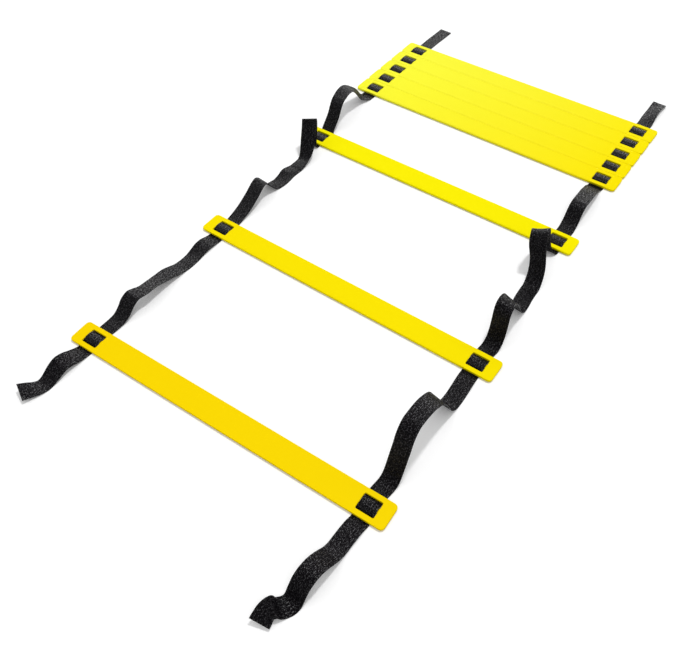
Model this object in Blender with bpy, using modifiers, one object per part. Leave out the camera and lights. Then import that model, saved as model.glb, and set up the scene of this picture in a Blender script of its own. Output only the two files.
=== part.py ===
# Agility ladder: flat plastic rungs threaded on two straps of woven webbing, laid out on the floor.
# Metres, +Z up. The straps run along Y and the rungs lie along X, with the spread rungs at -Y.
# The origin is on the floor, in the middle of the box round the ladder.
# Under each end of a rung the strap goes below the front rim, up over a centre bar and below the rear rim.

import math

import bmesh
import bpy
import numpy as np
from mathutils import Matrix, Vector

# Rung
rung_count = 8
rung_length = 0.508
rung_width = 0.037
rung_thickness = 0.004
rung_corner_radius = 0.0055
rung_edge_round = 0.0008
rung_corner_steps = 4
rung_edge_steps = 2

# Window in each end of a rung, with the bar that the strap wraps over
window_length = 0.0254
window_width = 0.0225
window_corner_radius = 0.0015
window_corner_steps = 2
window_lead_in = 0.0005
bar_width = 0.0065
bar_thickness = 0.0032
bar_edge_round = 0.0009
bar_edge_steps = 2
bar_root = 0.001

# Webbing
webbing_width = 0.0245
webbing_thickness = 0.0012
strap_inset = 0.0295
seat_gap = 0.0003
ribbon_step = 0.006
wrap_steps = 5

# Clear gaps between the rungs, from the near end to the far end
bay_1_2 = 0.2194
bay_2_3 = 0.2299
bay_3_4 = 0.1345
pack_gap = 0.0003

# How far the spread rungs stand to the right of the packed ones, and how far they are turned
rung_1_side = 0.0219
rung_2_side = 0.0212
rung_3_side = 0.0047
rung_1_turn_degrees = 2.60
rung_2_turn_degrees = 0.65
rung_3_turn_degrees = 0.49

# Where a strap folds in front of the rung behind it
fold_setback = 0.006

# Heights of the waves and arches that the slack webbing stands in
left_near_wave = 0.0114
right_near_wave = 0.0270
left_wave_1_2 = 0.0224
right_arch_1_2 = 0.0764
left_loop_2_3 = 0.0594
right_arch_2_3 = 0.0654
left_arch_3_4 = 0.0464
right_wave_3_4 = 0.0244
left_far_wave = 0.0006
right_far_wave = 0.0056

# Loose ends of the straps, along the floor
left_near_reach = 0.1000
right_near_reach = 0.1570
left_far_reach = 0.0800
right_far_reach = 0.0815

# Colours as they look on screen, and how rough they are
rung_yellow = (253, 232, 20)
webbing_black = (27, 25, 28)
rung_roughness = 0.38
webbing_roughness = 0.85

cut_overrun = 0.002

# The route of each free stretch of strap, from one rung to the next or from a rung to the loose end.
# Each row is: how far along, how high, how far to the right, in shares of the stretch's reach, of its
# wave's height and of the webbing's width, then the webbing's lean in degrees, its left edge up, and,
# where a loop stands turned, that turn in degrees.
left_near_shares = [
    (0.01, 0.00, 0.00, 0), (0.08, 0.14, 0.00, 4), (0.18, 0.42, 0.00, 12), (0.28, 0.80, 0.00, 18),
    (0.38, 0.98, 0.00, 20), (0.47, 0.78, 0.00, 16), (0.57, 0.38, 0.00, 8), (0.65, 0.08, 0.00, 2),
    (0.72, 0.02, 0.00, 0), (0.81, 0.20, -0.08, 8), (0.90, 0.56, -0.20, 21), (1.00, 0.98, -0.32, 32)]
right_near_shares = [
    (0.01, 0.00, 0.00, 0), (0.07, 0.07, -0.03, 0), (0.14, 0.11, -0.04, 0), (0.22, 0.09, -0.05, 0),
    (0.28, 0.10, -0.05, 0), (0.34, 0.27, -0.05, 3), (0.40, 0.57, -0.06, 7), (0.46, 0.84, -0.08, 9),
    (0.52, 1.01, -0.10, 8), (0.58, 1.03, -0.12, 6), (0.64, 0.80, -0.17, 2), (0.70, 0.36, -0.20, 0),
    (0.75, 0.05, -0.21, 0), (0.78, 0.02, -0.24, 4), (0.81, 0.04, -0.34, 14), (0.84, 0.14, -0.47, 27),
    (0.87, 0.42, -0.64, 40), (0.91, 0.50, -0.72, 38), (0.955, 0.40, -0.72, 30), (1.00, 0.28, -0.70, 20)]
left_1_2_shares = [
    (0.01, 0.00, 0.00, 0), (0.05, 0.04, 0.03, 0), (0.09, 0.07, 0.04, 0), (0.12, 0.13, 0.05, 0),
    (0.15, 0.28, 0.05, 2), (0.18, 0.51, 0.05, 4), (0.20, 0.71, 0.05, 6), (0.23, 0.91, 0.06, 6),
    (0.26, 1.00, 0.06, 4), (0.29, 0.95, 0.09, 0), (0.33, 0.88, 0.15, -6), (0.37, 0.84, 0.15, -10),
    (0.43, 0.68, 0.09, -8), (0.49, 0.52, 0.05, -2), (0.55, 0.40, 0.04, 3), (0.60, 0.20, 0.03, 4),
    (0.65, 0.04, 0.03, 0), (0.70, 0.00, 0.06, 0), (0.76, 0.00, 0.05, 0), (0.81, 0.06, 0.01, 3),
    (0.86, 0.17, 0.00, 8), (0.90, 0.18, 0.00, 8), (0.95, 0.08, 0.00, 3), (0.99, 0.01, 0.00, 0)]
right_1_2_shares = [
    (0.01, 0.00, 0.00, 0), (0.05, 0.01, 0.04, 0), (0.09, 0.03, 0.07, 0), (0.12, 0.10, 0.08, 0),
    (0.14, 0.20, 0.08, 0), (0.165, 0.36, 0.08, 0), (0.185, 0.51, 0.09, 0), (0.21, 0.67, 0.09, 0),
    (0.235, 0.81, 0.07, 0), (0.27, 0.92, 0.05, 0), (0.31, 0.98, 0.03, 0), (0.36, 0.99, 0.03, 1),
    (0.41, 0.98, 0.03, 4), (0.455, 0.95, 0.03, 7), (0.505, 0.88, 0.03, 9), (0.555, 0.78, 0.03, 10),
    (0.60, 0.60, 0.03, 9), (0.64, 0.36, 0.04, 6), (0.68, 0.13, 0.07, 2), (0.72, 0.02, 0.09, 0),
    (0.78, 0.00, 0.10, 0), (0.86, 0.01, 0.07, 0), (0.93, 0.02, 0.03, 0), (0.99, 0.00, 0.00, 0)]
left_2_3_shares = [
    (0.01, 0.00, 0.00, 0, 0), (0.05, 0.02, 0.00, 0, 0), (0.10, 0.07, 0.02, 0, 0),
    (0.15, 0.13, 0.03, 0, 0), (0.20, 0.21, 0.03, 0, 0), (0.245, 0.29, 0.03, 0, 0),
    (0.285, 0.37, 0.02, 0, 0), (0.32, 0.42, 0.00, 0, 0), (0.35, 0.44, 0.01, 2, 0),
    (0.375, 0.38, 0.04, 4, 0), (0.40, 0.24, 0.08, 4, 0), (0.425, 0.09, 0.12, 2, 0),
    (0.45, 0.01, 0.17, 0, 0), (0.51, 0.00, 0.31, 0, 0), (0.56, 0.01, 0.34, 4, 0),
    (0.61, 0.04, 0.34, 12, 0), (0.66, 0.02, 0.37, 6, 0), (0.70, 0.00, 0.42, 0, 2),
    (0.75, 0.02, 0.46, -10, 8), (0.80, 0.08, 0.47, -20, 14), (0.835, 0.20, 0.45, -16, 24),
    (0.865, 0.37, 0.40, -8, 32), (0.89, 0.56, 0.34, -2, 36), (0.91, 0.73, 0.29, 0, 37),
    (0.928, 0.90, 0.24, 0, 37), (0.943, 1.02, 0.18, 0, 36), (0.957, 0.89, 0.11, 0, 32),
    (0.960, 0.66, 0.06, 0, 24), (0.961, 0.44, 0.02, 0, 14), (0.9615, 0.25, 0.00, 0, 6),
    (0.966, 0.08, 0.00, 0, 0), (0.978, 0.01, 0.00, 0, 0), (0.99, 0.00, 0.00, 0, 0)]
right_2_3_shares = [
    (0.01, 0.00, 0.00, 0, 0), (0.06, 0.02, 0.08, 0, 0), (0.095, 0.11, 0.12, 0, 0),
    (0.115, 0.27, 0.13, 0, 0), (0.122, 0.48, 0.14, 0, 0), (0.126, 0.69, 0.14, 0, 0),
    (0.135, 0.88, 0.13, 0, 0), (0.155, 0.99, 0.12, 2, 0), (0.185, 1.02, 0.12, 6, 0),
    (0.225, 0.97, 0.12, 10, 0), (0.27, 0.82, 0.12, 14, 0), (0.312, 0.60, 0.12, 15, 0),
    (0.35, 0.35, 0.13, 12, 0), (0.385, 0.13, 0.16, 5, 0), (0.42, 0.02, 0.19, 0, 0),
    (0.46, 0.00, 0.20, 0, 0), (0.53, 0.00, 0.18, 0, 0), (0.585, 0.00, 0.19, 0, 0),
    (0.62, 0.01, 0.21, 0, 0), (0.665, 0.09, 0.18, 0, 0), (0.69, 0.20, 0.14, 0, 0),
    (0.71, 0.32, 0.08, 0, 0), (0.724, 0.46, -0.01, 0, 1), (0.731, 0.63, -0.12, 0, 5),
    (0.739, 0.82, -0.26, 0, 16), (0.757, 0.98, -0.39, 0, 32), (0.79, 1.05, -0.47, 0, 38),
    (0.825, 1.03, -0.51, 0, 38), (0.857, 0.90, -0.52, 0, 36), (0.887, 0.67, -0.51, 0, 30),
    (0.91, 0.43, -0.46, 0, 22), (0.93, 0.22, -0.36, 0, 12), (0.952, 0.08, -0.18, 0, 4),
    (0.975, 0.01, -0.05, 0, 0), (0.99, 0.00, 0.00, 0, 0)]
left_3_4_shares = [
    (0.01, 0.00, 0.00, 0), (0.05, 0.08, -0.05, 0), (0.10, 0.21, -0.07, 0), (0.145, 0.35, -0.06, 0),
    (0.18, 0.52, -0.03, 0), (0.21, 0.69, -0.02, 0), (0.25, 0.84, -0.04, 0), (0.305, 0.94, -0.08, 0),
    (0.36, 0.98, -0.12, 2), (0.42, 1.01, -0.16, 4), (0.475, 1.02, -0.17, 6), (0.53, 0.99, -0.18, 8),
    (0.585, 0.90, -0.18, 13), (0.64, 0.76, -0.18, 20), (0.69, 0.61, -0.18, 27), (0.74, 0.46, -0.18, 33),
    (0.79, 0.31, -0.17, 34), (0.84, 0.18, -0.13, 24), (0.89, 0.06, -0.06, 9), (0.94, 0.01, -0.02, 0),
    (0.99, 0.00, 0.00, 0)]
right_3_4_shares = [
    (0.01, 0.00, 0.00, 0), (0.08, 0.02, 0.03, 0), (0.17, 0.10, 0.02, 0), (0.235, 0.32, 0.01, 0),
    (0.29, 0.63, 0.00, 0), (0.34, 0.87, 0.00, 0), (0.40, 1.00, 0.01, 0), (0.475, 0.97, 0.02, 2),
    (0.565, 0.89, 0.02, 3), (0.67, 0.78, 0.01, 2), (0.78, 0.57, 0.00, 0), (0.865, 0.32, -0.04, 0),
    (0.915, 0.14, -0.06, 0), (0.955, 0.03, -0.03, 0), (0.99, 0.00, 0.00, 0)]
left_far_shares = [
    (0.01, 0.00, 0.00, 0), (0.15, 0.00, 0.01, 0), (0.40, 0.40, 0.02, 0), (0.70, 0.80, 0.07, 0),
    (1.00, 1.00, 0.10, 0)]
right_far_shares = [
    (0.01, 0.00, 0.00, 0), (0.15, 0.10, 0.03, -2), (0.33, 0.45, 0.00, -10), (0.52, 0.70, -0.02, -18),
    (0.70, 0.75, -0.02, -20), (0.88, 0.55, 0.00, -10), (1.00, 0.45, 0.02, 0)]

# Where each stretch between two rungs stops changing with the gap, as a share of its reach
left_split_1_2_share = 0.90
right_split_1_2_share = 0.89
left_split_2_3_share = 0.70
right_split_2_3_share = 0.58
left_split_3_4_share = 0.83
right_split_3_4_share = 0.83

bays = [bay_1_2, bay_2_3, bay_3_4]
sides = [rung_1_side, rung_2_side, rung_3_side]
turns_degrees = [rung_1_turn_degrees, rung_2_turn_degrees, rung_3_turn_degrees]
strap_reach = rung_length / 2 - strap_inset
rung_bottom = webbing_thickness + seat_gap
rung_middle = rung_bottom + rung_thickness / 2
strap_on_floor = webbing_thickness / 2
bar_top = rung_middle + bar_thickness / 2
strap_on_bar = bar_top + seat_gap + webbing_thickness / 2
rim = (rung_width - window_width) / 2
wrap_half_length = window_width / 2 + rim / 2
wrap_foot = window_width / 2 - seat_gap - webbing_thickness / 2
across = Vector((1, 0, 0))
right_angle_degrees = 90


def clear_scene():
    for old in list(bpy.data.objects):
        bpy.data.objects.remove(old, do_unlink=True)


def new_collection(name):
    collection = bpy.data.collections.new(name)
    bpy.context.scene.collection.children.link(collection)
    return collection


def linear(level):
    # One channel of a screen colour, 0 to 255, as the linear value that a shader takes
    value = level / 255
    if value <= 0.04045:
        return value / 12.92
    return ((value + 0.055) / 1.055) ** 2.4


def give_material(part, screen_colour, roughness):
    material = bpy.data.materials.new(part.name + "_finish")
    material.use_nodes = True
    shader = material.node_tree.nodes["Principled BSDF"]
    shader.inputs["Base Color"].default_value = [linear(level) for level in screen_colour] + [1]
    shader.inputs["Roughness"].default_value = roughness
    shader.inputs["Metallic"].default_value = 0
    part.data.materials.clear()
    part.data.materials.append(material)


def object_from(bm, name, collection):
    mesh = bpy.data.meshes.new(name)
    bm.to_mesh(mesh)
    bm.free()
    made = bpy.data.objects.new(name, mesh)
    collection.objects.link(made)
    return made


def upright_edges(bm):
    found = []
    for edge in bm.edges:
        run = edge.verts[1].co - edge.verts[0].co
        if abs(run.z) > max(abs(run.x), abs(run.y)):
            found.append(edge)
    return found


def block(size, middle):
    bm = bmesh.new()
    bmesh.ops.create_cube(bm, size=1, matrix=Matrix.Translation(middle) @ Matrix.Diagonal((*size, 1)))
    return bm


def round_edges(bm, edges, radius, steps):
    bmesh.ops.bevel(bm, geom=edges, offset=radius, segments=steps, profile=0.5, affect="EDGES")


def rung_blank(collection):
    # A flat bar with rounded corners and softened edges, its middle on the rung's own origin
    bm = block((rung_length, rung_width, rung_thickness), Vector((0, 0, 0)))
    round_edges(bm, upright_edges(bm), rung_corner_radius, rung_corner_steps)
    outline = [edge for edge in bm.edges
               if abs(edge.verts[0].co.z - edge.verts[1].co.z) < seat_gap
               and min(abs(face.normal.z) for face in edge.link_faces) < max(
                   abs(face.normal.z) for face in edge.link_faces)]
    round_edges(bm, outline, rung_edge_round, rung_edge_steps)
    return object_from(bm, "rung_blank", collection)


def window_cutter(name, centre_x, collection):
    # A rounded opening whose mouths widen at both faces of the rung
    height = rung_thickness + 2 * cut_overrun
    bm = block((window_length, window_width, height), Vector((centre_x, 0, 0)))
    round_edges(bm, upright_edges(bm), window_corner_radius, window_corner_steps)
    for side in (-1, 1):
        for level in (rung_thickness / 2 - window_lead_in, rung_thickness / 2):
            bmesh.ops.bisect_plane(bm, geom=bm.verts[:] + bm.edges[:] + bm.faces[:],
                                   plane_co=(0, 0, side * level), plane_no=(0, 0, 1))
    for vertex in bm.verts:
        if abs(vertex.co.z) > rung_thickness / 2 - window_lead_in / 2:
            vertex.co.x += math.copysign(window_lead_in, vertex.co.x - centre_x)
            vertex.co.y += math.copysign(window_lead_in, vertex.co.y)
    return object_from(bm, name, collection)


def centre_bar(name, centre_x, collection):
    # The rounded bar across a window, with its ends rooted in the window's walls
    size = (window_length + 2 * bar_root, bar_width, bar_thickness)
    bm = block(size, Vector((centre_x, 0, 0)))
    long_edges = [edge for edge in bm.edges
                  if abs(edge.verts[0].co.x - edge.verts[1].co.x) > window_length]
    round_edges(bm, long_edges, bar_edge_round, bar_edge_steps)
    return object_from(bm, name, collection)


def add_boolean(target, tool, operation):
    modifier = target.modifiers.new(tool.name, "BOOLEAN")
    modifier.operation = operation
    modifier.solver = "EXACT"
    modifier.object = tool
    tool.hide_render = True
    tool.display_type = "WIRE"


def rung_mesh(cutters):
    # One rung's finished mesh, which every rung copies
    blank = rung_blank(cutters)
    for side, word in ((-1, "left"), (1, "right")):
        add_boolean(blank, window_cutter(word + "_window", side * strap_reach, cutters), "DIFFERENCE")
        add_boolean(blank, centre_bar(word + "_bar", side * strap_reach, cutters), "UNION")
    bpy.context.view_layer.update()
    finished = blank.evaluated_get(bpy.context.evaluated_depsgraph_get())
    mesh = bpy.data.meshes.new_from_object(finished)
    bpy.data.objects.remove(blank, do_unlink=True)
    return mesh


def rung_frames():
    # The place of every rung on the floor, as a matrix whose Y runs along the straps
    gaps = bays + [pack_gap] * (rung_count - 1 - len(bays))
    spare = rung_count - len(bays)
    frames = []
    y = 0
    for index, (side, turn) in enumerate(zip(sides + [0] * spare, turns_degrees + [0] * spare)):
        if index:
            y += rung_width + gaps[index - 1]
        frames.append(Matrix.Translation((side, y, 0)) @ Matrix.Rotation(math.radians(turn), 4, "Z"))
    return frames


def strap_point(frame, side, along, height):
    # A point of a strap at a rung: side is -1 on the left, along is counted from the rung's middle
    return frame @ Vector((side * strap_reach, along, height))


class Route:
    # A smooth curve through a stretch's points, read by its length

    def __init__(self, points, angles):
        fine_steps = 24
        points = np.array([tuple(point) for point in points])
        knots = np.concatenate([[0], np.cumsum(np.linalg.norm(np.diff(points, axis=0), axis=1))])
        values = np.column_stack([points, np.array(angles, dtype=float)])
        slopes = np.gradient(values, knots, axis=0)
        rows = []
        self.knot_rows = []
        for index in range(len(points) - 1):
            span = knots[index + 1] - knots[index]
            self.knot_rows.append(len(rows))
            for step in range(fine_steps):
                t = step / fine_steps
                rows.append((2 * t ** 3 - 3 * t ** 2 + 1) * values[index]
                            + (t ** 3 - 2 * t ** 2 + t) * span * slopes[index]
                            + (3 * t ** 2 - 2 * t ** 3) * values[index + 1]
                            + (t ** 3 - t ** 2) * span * slopes[index + 1])
        self.knot_rows.append(len(rows))
        rows.append(values[-1])
        self.rows = np.array(rows)
        self.rows[:, 2] = np.maximum(self.rows[:, 2], strap_on_floor)
        self.lengths = np.concatenate(
            [[0], np.cumsum(np.linalg.norm(np.diff(self.rows[:, :3], axis=0), axis=1))])
        self.length = self.lengths[-1]

    def at(self, length):
        return np.array([np.interp(length, self.lengths, self.rows[:, column]) for column in range(5)])

    def stops(self, start, end):
        # Lengths from start to end that take in every point of the route, in steps short enough for a bend
        knots = [self.lengths[row] for row in self.knot_rows]
        marks = [start] + [knot for knot in knots if start + seat_gap < knot < end - seat_gap] + [end]
        found = [start]
        for here, there in zip(marks, marks[1:]):
            steps = max(1, math.ceil((there - here) / ribbon_step))
            found += [here + (there - here) * step / steps for step in range(1, steps + 1)]
        return found

    def section(self, length):
        # The middle of the webbing, its half width as a vector, at a length along the route
        reach = min(seat_gap, self.length / 4)
        start = self.at(max(length - reach, 0))
        end = self.at(min(length + reach, self.length))
        tangent = Vector(end[:3] - start[:3]).normalized()
        here = self.at(length)
        turned = Matrix.Rotation(math.radians(here[4]), 3, "Z") @ across
        flat = (turned - tangent * turned.dot(tangent)).normalized()
        lean = Matrix.Rotation(math.radians(here[3]), 3, tangent)
        middle = Vector(here[:3])
        half = lean @ flat * webbing_width / 2
        lift = max(0, strap_on_floor - min((middle + half).z, (middle - half).z))
        return middle + Vector((0, 0, lift)), half


def ribbon(name, route, start, end, collection):
    # A stretch of webbing along a route, as an edge drawn along it and given its thickness
    middle, half = route.section(start)
    origin = middle.copy()
    bm = bmesh.new()
    edge = bm.edges.new([bm.verts.new(middle - half - origin), bm.verts.new(middle + half - origin)])
    for length in route.stops(start, end)[1:]:
        middle, half = route.section(length)
        grown = bmesh.ops.extrude_edge_only(bm, edges=[edge])["geom"]
        edge = next(item for item in grown if isinstance(item, bmesh.types.BMEdge))
        left, right = sorted(edge.verts, key=lambda vertex: vertex.co.x)
        left.co = middle - half - origin
        right.co = middle + half - origin
    bmesh.ops.recalc_face_normals(bm, faces=bm.faces)
    made = object_from(bm, name, collection)
    made.location = origin
    thicken(made)
    return made


def thicken(made):
    shell = made.modifiers.new("webbing_thickness", "SOLIDIFY")
    shell.thickness = webbing_thickness
    shell.offset = 0
    give_material(made, webbing_black, webbing_roughness)


def wrap_path():
    # The strap's path through a window, as places and heights: flat under the rims, and between them
    # an arched half ellipse that clears the bar
    bar_shoulder = bar_width / 2 - bar_edge_round
    flat_from = wrap_foot + webbing_thickness
    rise = (strap_on_bar - strap_on_floor) / math.sqrt(1 - (bar_shoulder / wrap_foot) ** 2)
    path = [(-wrap_half_length, strap_on_floor), (-flat_from, strap_on_floor)]
    for step in range(2 * wrap_steps + 1):
        angle = math.pi / 2 * (step / wrap_steps - 1)
        path.append((wrap_foot * math.sin(angle), strap_on_floor + rise * math.cos(angle)))
    path += [(flat_from, strap_on_floor), (wrap_half_length, strap_on_floor)]
    return path


def wrapped_strap(name, frame, side, collection):
    # The stretch of strap that is threaded through one rung
    bm = bmesh.new()
    half = Vector((webbing_width / 2, 0, 0))
    path = [Vector((0, along, height)) for along, height in wrap_path()]
    edge = bm.edges.new([bm.verts.new(path[0] - half), bm.verts.new(path[0] + half)])
    for here, there in zip(path, path[1:]):
        grown = bmesh.ops.extrude_edge_only(bm, edges=[edge])["geom"]
        edge = next(item for item in grown if isinstance(item, bmesh.types.BMEdge))
        bmesh.ops.translate(bm, verts=edge.verts[:], vec=there - here)
    bmesh.ops.recalc_face_normals(bm, faces=bm.faces)
    made = object_from(bm, name, collection)
    made.matrix_world = frame @ Matrix.Translation((side * strap_reach, 0, 0))
    thicken(made)
    return made


def free_route(start_frame, end_frame, side, wave, shares):
    # The route between two rungs, from under one rung's rear rim to under the next one's front rim
    hidden = wrap_half_length + seat_gap
    edge = rung_width / 2
    first = strap_point(start_frame, side, edge, strap_on_floor)
    last = strap_point(end_frame, side, -edge, strap_on_floor)
    points = [strap_point(start_frame, side, hidden, strap_on_floor), first]
    angles = [(0, 0), (0, 0)]
    for along, height, drift, lean, *turn in shares:
        points.append(first.lerp(last, along) + Vector((drift * webbing_width, 0, height * wave)))
        angles.append((lean, turn[0] if turn else 0))
    points += [last, strap_point(end_frame, side, -hidden, strap_on_floor)]
    angles += [(0, 0), (0, 0)]
    return Route(points, angles)


def loose_route(frame, side, direction, reach, wave, shares):
    # The route of a loose end, from under a rung's outer rim along the floor
    hidden = wrap_half_length + seat_gap
    first = strap_point(frame, side, direction * rung_width / 2, strap_on_floor)
    points = [strap_point(frame, side, direction * hidden, strap_on_floor), first]
    angles = [(0, 0), (0, 0)]
    for along, height, drift, lean in shares:
        points.append(first + Vector((drift * webbing_width, direction * reach * along, height * wave)))
        angles.append((direction * lean, 0))
    return Route(points, angles)


def length_at_share(route, start_frame, end_frame, side, share):
    # The length along a route where it first passes a share of the gap between two rungs
    first = strap_point(start_frame, side, rung_width / 2, 0)
    last = strap_point(end_frame, side, -rung_width / 2, 0)
    passed = np.argmax(route.rows[:, 1] >= first.lerp(last, share).y)
    return route.lengths[passed]


def empty_at(name, location, collection):
    empty = bpy.data.objects.new(name, None)
    empty.empty_display_size = rung_width
    empty.location = location
    collection.objects.link(empty)
    return empty


def hang(child, parent):
    # The child follows its parent and keeps its place
    bpy.context.view_layer.update()
    child.parent = parent
    child.matrix_parent_inverse = parent.matrix_world.inverted()


def fold_point(frame):
    # The middle of the line that a rung and all behind it fold up about
    return frame @ Vector((0, -rung_width / 2 - fold_setback, strap_on_floor))


def build_rungs(frames, carriers, collection, cutters):
    shape = rung_mesh(cutters)
    for number, (frame, carrier) in enumerate(zip(frames, carriers), 1):
        made = bpy.data.objects.new("rung_%d" % number, shape.copy())
        collection.objects.link(made)
        made.matrix_world = frame @ Matrix.Translation((0, 0, rung_middle))
        made.data.shade_smooth()
        made.data.set_sharp_from_angle(angle=math.radians(right_angle_degrees / 3))
        give_material(made, rung_yellow, rung_roughness)
        hang(made, carrier)
        for side, word in ((-1, "left"), (1, "right")):
            wrapped = wrapped_strap("%s_strap_in_rung_%d" % (word, number), frame, side, collection)
            hang(wrapped, carrier)


def build_bays(frames, carriers, links, collection):
    stretches = [
        (0, -1, "left", left_wave_1_2, left_1_2_shares, left_split_1_2_share),
        (0, 1, "right", right_arch_1_2, right_1_2_shares, right_split_1_2_share),
        (1, -1, "left", left_loop_2_3, left_2_3_shares, left_split_2_3_share),
        (1, 1, "right", right_arch_2_3, right_2_3_shares, right_split_2_3_share),
        (2, -1, "left", left_arch_3_4, left_3_4_shares, left_split_3_4_share),
        (2, 1, "right", right_wave_3_4, right_3_4_shares, right_split_3_4_share)]
    for index, side, word, wave, shares, split_share in stretches:
        pair = "%s_strap_%d_%d" % (word, index + 1, index + 2)
        route = free_route(frames[index], frames[index + 1], side, wave, shares)
        split = length_at_share(route, frames[index], frames[index + 1], side, split_share)
        slack = ribbon(pair + "_slack", route, 0, split - seat_gap / 2, collection)
        hang(slack, carriers[index])
        lead = ribbon(pair + "_lead", route, split + seat_gap / 2, route.length, collection)
        hang(lead, links[index])


def build_pack_straps(frames, carriers, collection):
    flat_shares = [(0.5, 0, 0, 0)]
    for index in range(len(bays), rung_count - 1):
        for side, word in ((-1, "left"), (1, "right")):
            route = free_route(frames[index], frames[index + 1], side, 0, flat_shares)
            name = "%s_strap_%d_%d" % (word, index + 1, index + 2)
            hang(ribbon(name, route, 0, route.length, collection), carriers[index])


def build_loose_ends(frames, carriers, collection):
    ends = [
        (0, -1, -1, "left_strap_near_end", left_near_reach, left_near_wave, left_near_shares),
        (0, 1, -1, "right_strap_near_end", right_near_reach, right_near_wave, right_near_shares),
        (-1, -1, 1, "left_strap_far_end", left_far_reach, left_far_wave, left_far_shares),
        (-1, 1, 1, "right_strap_far_end", right_far_reach, right_far_wave, right_far_shares)]
    for index, side, direction, name, reach, wave, shares in ends:
        route = loose_route(frames[index], side, direction, reach, wave, shares)
        hang(ribbon(name, route, 0, route.length, collection), carriers[index])


def build_carriers(frames, collection):
    # An empty for each moving body: a link for every fold, and a carrier for every rung
    root = empty_at("ladder", Vector((0, 0, 0)), collection)
    carriers = [empty_at("rung_1_body", frames[0].translation, collection)]
    hang(carriers[0], root)
    links = []
    for number in range(2, rung_count + 1):
        frame = frames[number - 1]
        if number <= len(bays) + 1:
            link = empty_at("link_%d_%d" % (number - 1, number), fold_point(frame), collection)
            hang(link, carriers[-1])
            links.append(link)
            carrier = empty_at("rung_%d_body" % number, fold_point(frame), collection)
            hang(carrier, link)
        else:
            carrier = empty_at("rung_%d_body" % number, frame.translation, collection)
            hang(carrier, carriers[-1])
        carriers.append(carrier)
    return root, carriers, links


def centre_on_origin(root, collection):
    # Moves the whole ladder so that the box round it is centred on the origin
    bpy.context.view_layer.update()
    graph = bpy.context.evaluated_depsgraph_get()
    corners = []
    for part in collection.objects:
        if part.type == "MESH":
            shown = part.evaluated_get(graph)
            corners += [tuple(shown.matrix_world @ vertex.co) for vertex in shown.data.vertices]
    low = np.min(corners, axis=0)
    high = np.max(corners, axis=0)
    root.location = (-(low[0] + high[0]) / 2, -(low[1] + high[1]) / 2, -low[2])


def main():
    clear_scene()
    parts = new_collection("agility_ladder")
    guides = new_collection("agility_ladder_empties")
    cutters = new_collection("agility_ladder_cutters")
    frames = rung_frames()
    root, carriers, links = build_carriers(frames, guides)
    build_rungs(frames, carriers, parts, cutters)
    build_bays(frames, carriers, links, parts)
    build_pack_straps(frames, carriers, parts)
    build_loose_ends(frames, carriers, parts)
    centre_on_origin(root, parts)
    bpy.context.view_layer.update()


main()
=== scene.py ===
import math

import bmesh
import bpy
import numpy as np
from mathutils import Matrix, Vector


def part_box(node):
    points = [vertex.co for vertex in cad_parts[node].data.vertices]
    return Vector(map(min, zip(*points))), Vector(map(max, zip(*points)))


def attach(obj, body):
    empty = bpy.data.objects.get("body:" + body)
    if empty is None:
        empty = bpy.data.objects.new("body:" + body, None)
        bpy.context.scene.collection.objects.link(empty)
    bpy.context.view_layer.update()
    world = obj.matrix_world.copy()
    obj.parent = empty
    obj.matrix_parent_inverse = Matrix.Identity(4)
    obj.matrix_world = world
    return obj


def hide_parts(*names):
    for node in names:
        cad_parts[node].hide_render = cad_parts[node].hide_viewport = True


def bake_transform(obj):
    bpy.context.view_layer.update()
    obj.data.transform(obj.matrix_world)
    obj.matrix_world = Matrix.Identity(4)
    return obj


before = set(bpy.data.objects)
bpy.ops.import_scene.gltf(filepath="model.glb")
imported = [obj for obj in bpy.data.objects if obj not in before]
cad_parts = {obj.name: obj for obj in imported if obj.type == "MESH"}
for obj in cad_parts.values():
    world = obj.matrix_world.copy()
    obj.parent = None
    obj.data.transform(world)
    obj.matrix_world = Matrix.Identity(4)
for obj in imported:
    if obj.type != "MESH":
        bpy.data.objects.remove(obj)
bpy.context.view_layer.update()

# Rung 4 stands square to the ladder, so every place is counted from its middle on the floor.
lowCorner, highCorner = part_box("rung_4")
datum = Vector(((lowCorner.x + highCorner.x) / 2, (lowCorner.y + highCorner.y) / 2, 0))

# Camera: matched to the photograph by the corners and windows of all eight rungs.
cameraSettings = {"fromDatum": (0.4501, -0.9721, 0.7828), "yaw": 37.881, "pitch": -52.156, "roll": -2.079,
                  "lens": 37.05, "sensor": 36.0, "clipStart": 0.02, "clipEnd": 60.0}


def makeCamera(settings):
    yaw, pitch, roll = (math.radians(settings[name]) for name in ("yaw", "pitch", "roll"))
    forward = Vector((-math.sin(yaw) * math.cos(pitch), math.cos(yaw) * math.cos(pitch), math.sin(pitch)))
    level = Vector((math.cos(yaw), math.sin(yaw), 0))
    upright = level.cross(forward)
    right = level * math.cos(roll) + upright * math.sin(roll)
    up = upright * math.cos(roll) - level * math.sin(roll)
    data = bpy.data.cameras.new("photoCamera")
    data.lens = settings["lens"]
    data.sensor_width = settings["sensor"]
    data.clip_start = settings["clipStart"]
    data.clip_end = settings["clipEnd"]
    camera = bpy.data.objects.new("photoCamera", data)
    bpy.context.scene.collection.objects.link(camera)
    turn = Matrix((right, up, -forward)).transposed().to_4x4()
    camera.matrix_world = Matrix.Translation(datum + Vector(settings["fromDatum"])) @ turn
    bpy.context.scene.camera = camera


makeCamera(cameraSettings)
print("stage: camera")

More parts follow.
